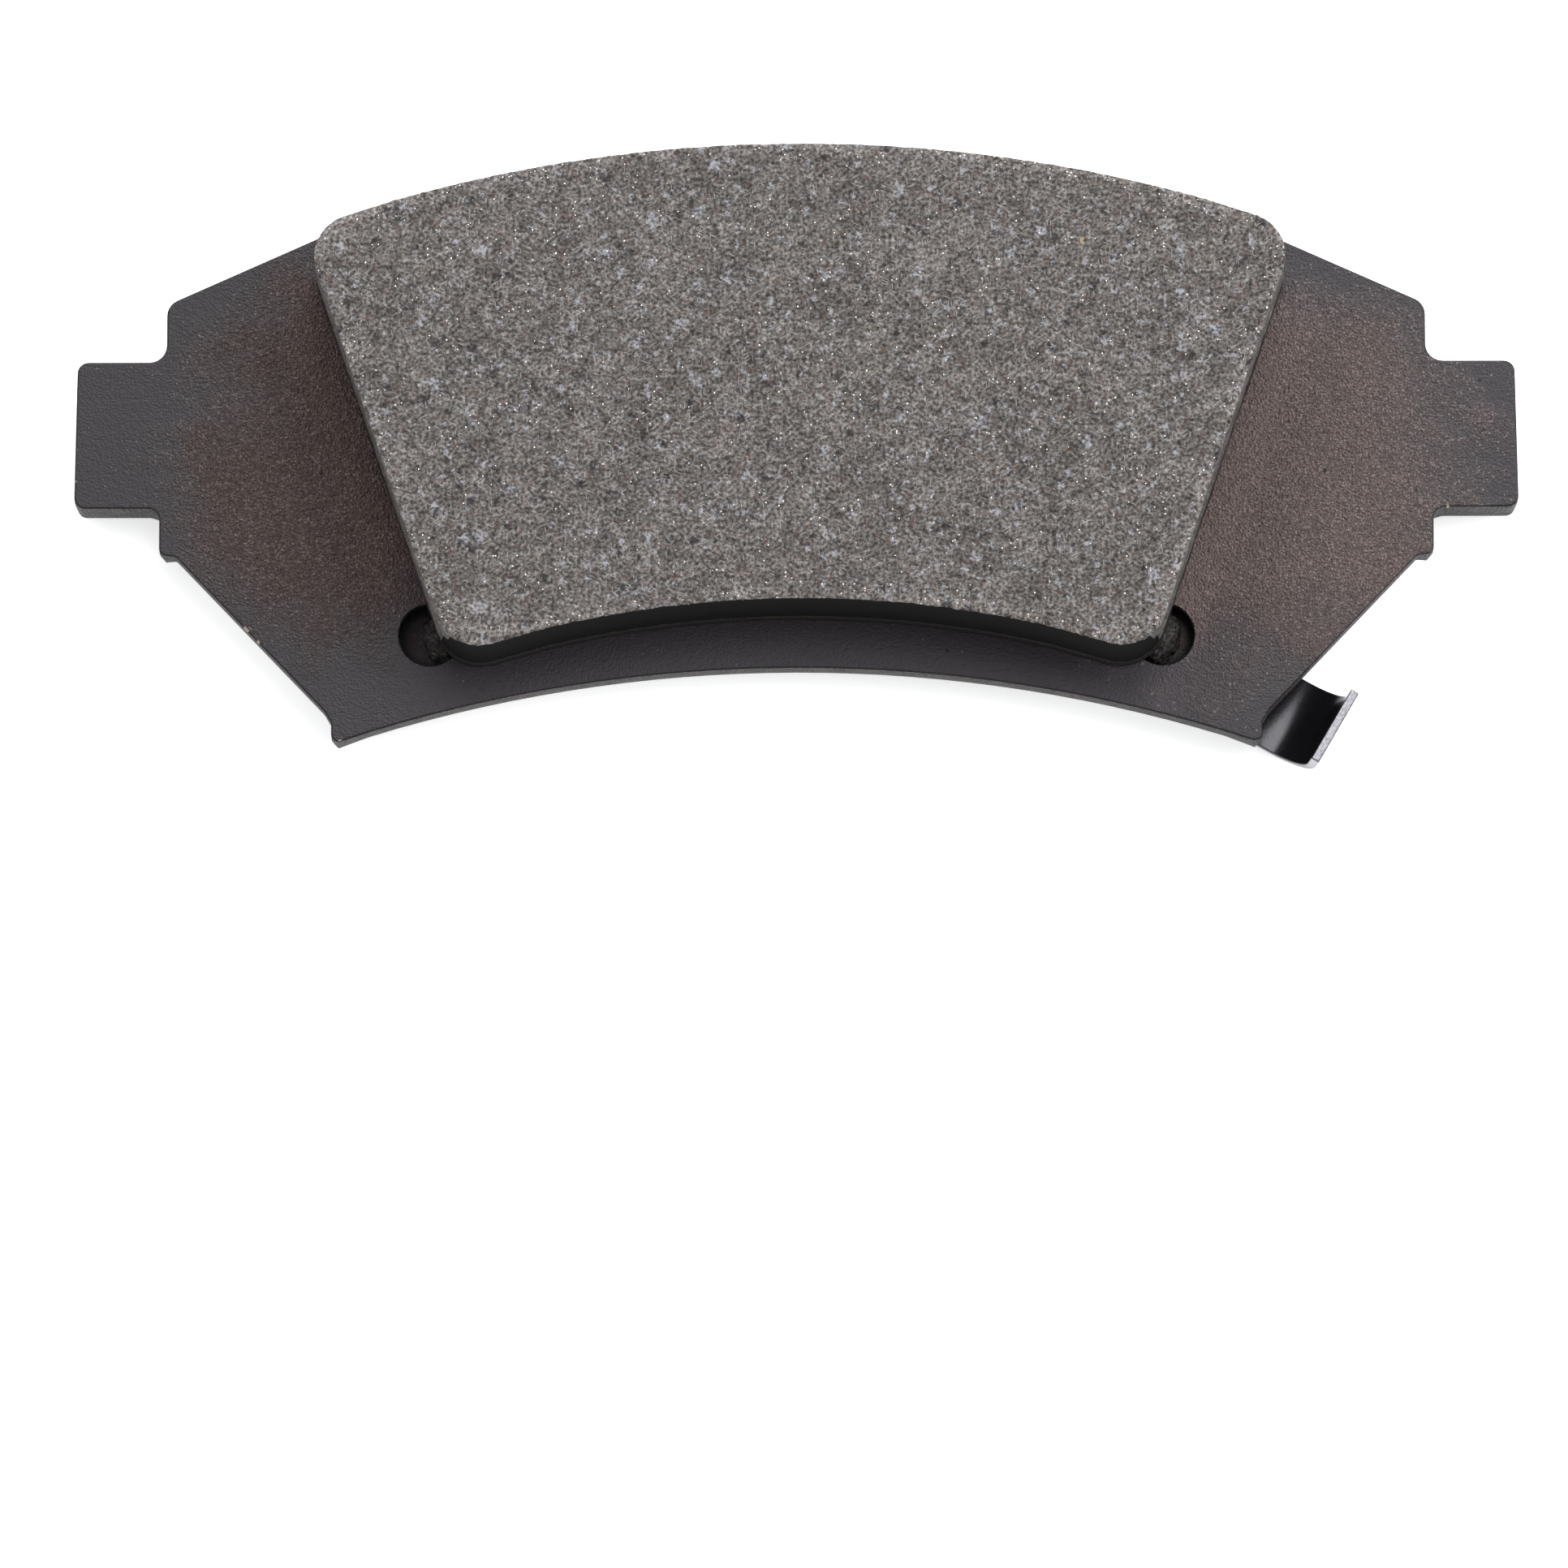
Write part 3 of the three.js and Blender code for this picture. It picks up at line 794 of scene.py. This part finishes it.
def layerMaterial(name, colour, roughness, metallic=0.0, grain=0.3, height=0.05):
    # a sheet material: slow colour drift, fine specks, a little relief
    material, tree, shader, where = newMaterial(name, 0.5)
    drift = cloud(tree, where, 9, 4.0, 0.6)
    fine = cloud(tree, where, grain, 2.0)
    light = tuple(min(1.0, c * 1.35) for c in colour)
    dark = tuple(c * 0.7 for c in colour)
    made = blendColour(tree, ramp(tree, drift, 0.35, 0.65), dark, light)
    specks = scatter(tree, where, 0.8, 0.12, 0.2, 0.08, 0.4, 2.2)["Mask"]
    made = blendColour(tree, maths(tree, "MULTIPLY", specks, 0.4), made,
                       tuple(min(1.0, c * 2.4 + 0.02) for c in colour))
    tree.links.new(made, shader.inputs["Base Color"])
    tree.links.new(ramp(tree, fine, 0.3, 0.7, roughness - 0.08, roughness + 0.08),
                   shader.inputs["Roughness"])
    shader.inputs["Metallic"].default_value = metallic
    bump = addNode(tree, "Bump", {"Height": fine, "Strength": 0.6, "Distance": height * mm})
    tree.links.new(bump.outputs[0], shader.inputs["Normal"])
    return material


def shimLayers():
    looks = {
        "shim_outer_rubber": layerMaterial("shimRubber", (0.016, 0.016, 0.0165), 0.5),
        "shim_inner_rubber": layerMaterial("shimRubberInner", (0.014, 0.014, 0.014), 0.6),
        "shim_steel_core": layerMaterial("shimSteel", (0.42, 0.42, 0.43), 0.34, metallic=1.0,
                                         grain=0.15, height=0.02),
        "shim_adhesive": layerMaterial("shimAdhesive", (0.24, 0.2, 0.13), 0.5),
    }
    for node, material in looks.items():
        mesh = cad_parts[node].data
        mesh.materials.clear()
        mesh.materials.append(material)


shimLayers()
print("shim finished")


# ---- wear indicator ----

def indicatorMaterial():
    look = {"paint": (0.0035, 0.0032, 0.0042), "scuff": (0.1, 0.1, 0.11),
            "bare": (0.23, 0.23, 0.25), "scale": (0.02, 0.016, 0.016)}
    material, tree, shader, where = newMaterial("springSteelPaint", 0.75)
    shader.inputs["Specular Tint"].default_value = (0.94, 0.93, 1, 1)
    low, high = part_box("wear_indicator")
    height = addNode(tree, "SeparateXYZ", {0: where}).outputs[2]
    facing = addNode(tree, "TexCoord").outputs["Normal"]
    up = addNode(tree, "SeparateXYZ", {0: facing}).outputs[2]
    fine = cloud(tree, where, 0.25, 3.0, 0.6)
    # the sheared tip is bare, and so are the side edges of the leg
    tip = maths(tree, "MULTIPLY", ramp(tree, height, high.z - 0.8 * mm, high.z - 0.4 * mm),
                ramp(tree, up, 0.88, 0.96))
    lean = addNode(tree, "VectorMath", {0: facing, 1: (0.5, 0.866, 0)}, operation="DOT_PRODUCT")
    flank = maths(tree, "MULTIPLY", ramp(tree, height, high.z - 6 * mm, high.z - 3.5 * mm),
                  ramp(tree, maths(tree, "ABSOLUTE", lean.outputs["Value"]), 0.8, 0.95))
    sheared = maths(tree, "MAXIMUM", tip, maths(tree, "MULTIPLY", flank, 0.8))
    speckled = maths(tree, "MULTIPLY", sheared, ramp(tree, fine, 0.32, 0.62, 0.35, 1.0))
    colour = blendColour(tree, sheared, look["paint"], look["scale"])
    colour = blendColour(tree, speckled, colour, look["bare"])
    scuffs = scatter(tree, where, 1.6, 0.05, 0.16, 0.08, 0.8, 6.6)["Mask"]
    colour = blendColour(tree, maths(tree, "MULTIPLY", scuffs, 0.6), colour, look["scuff"])
    tree.links.new(colour, shader.inputs["Base Color"])
    tree.links.new(maths(tree, "MULTIPLY", speckled, 0.5), shader.inputs["Metallic"])
    tree.links.new(ramp(tree, fine, 0.3, 0.7, 0.17, 0.24), shader.inputs["Roughness"])
    bump = addNode(tree, "Bump", {"Height": fine, "Strength": 0.15, "Distance": 0.05 * mm})
    tree.links.new(bump.outputs[0], shader.inputs["Normal"])
    return material


def wearIndicator():
    rim = 0.14
    strip = copyNode("wear_indicator", "wearIndicator")
    roundRims(strip, lambda middle: rim, 3)
    smooth(strip, 40)
    flattenShading(strip)
    strip.data.materials.append(indicatorMaterial())
    settle(strip, "spring_steel", "wear_indicator")


wearIndicator()
print("indicator made")


# ---- floor, light and camera ----

def softbox(name, place, width, height, power):
    data = bpy.data.lights.new(name, "AREA")
    data.shape = "RECTANGLE"
    data.size, data.size_y, data.energy = width, height, power
    lamp = bpy.data.objects.new(name, data)
    bpy.context.scene.collection.objects.link(lamp)
    lamp.location = place
    lamp.rotation_euler = (-Vector(place)).to_track_quat("-Z", "Y").to_euler()
    lamp.visible_camera = False


def studio():
    low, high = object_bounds()
    bpy.ops.object.select_all(action="DESELECT")
    bpy.ops.mesh.primitive_plane_add(size=6, location=(0, 0, low.z - 0.05 * mm))
    floor = bpy.context.object
    floor.name = "floor"
    paper = bpy.data.materials.new("floorPaper")
    paper.use_nodes = True
    shader = paper.node_tree.nodes["Principled BSDF"]
    shader.inputs["Base Color"].default_value = (0.88, 0.88, 0.88, 1)
    shader.inputs["Roughness"].default_value = 0.9
    shader.inputs["Emission Color"].default_value = (1, 1, 1, 1)
    shader.inputs["Emission Strength"].default_value = 0.55
    floor.data.materials.append(paper)

    softbox("overhead", (0.2, 0.38, 1.1), 0.7, 0.7, 6)
    softbox("behind", (0, 1.0, 0.85), 1.2, 0.7, 15)
    softbox("leftSide", (-0.95, 0.1, 0.7), 0.7, 0.9, 2)
    softbox("rightSide", (0.95, 0.1, 0.7), 0.7, 0.9, 9)

    world = bpy.data.worlds.new("paleRoom")
    world.use_nodes = True
    world.node_tree.nodes["Background"].inputs["Color"].default_value = (0.96, 0.98, 1.0, 1)
    world.node_tree.nodes["Background"].inputs["Strength"].default_value = 0.65
    bpy.context.scene.world = world
    bpy.context.scene.view_settings.view_transform = "Standard"


def camera():
    # the pad lies above the middle of a square frame, seen a little from its lower edge
    view = {"elevation": 76.78, "azimuth": 0.074, "roll": 0.358, "distance": 1.911,
            "frameWidth": 0.16192, "right": 0.001372, "up": 0.040156}
    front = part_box("backing_plate")[1].z
    target = Vector((0, 0, front))
    tilt, turn = math.radians(view["elevation"]), math.radians(view["azimuth"])
    back = Vector((math.sin(turn) * math.cos(tilt), -math.cos(turn) * math.cos(tilt),
                   math.sin(tilt)))
    sideways = Vector((math.cos(turn), math.sin(turn), 0))
    aim = target - back.cross(sideways) * view["up"] - sideways * view["right"]
    bpy.ops.object.camera_add(location=target + back * view["distance"])
    eye = bpy.context.object
    facing = (aim - eye.location).to_track_quat("-Z", "Y")
    rolled = facing @ Quaternion((0, 0, 1), -math.radians(view["roll"]))
    eye.rotation_euler = rolled.to_euler()
    eye.data.sensor_width = 36
    eye.data.lens = 36 * view["distance"] / view["frameWidth"]
    eye.data.clip_start, eye.data.clip_end = 0.05, 20
    bpy.context.scene.camera = eye


studio()
camera()
print("studio made")
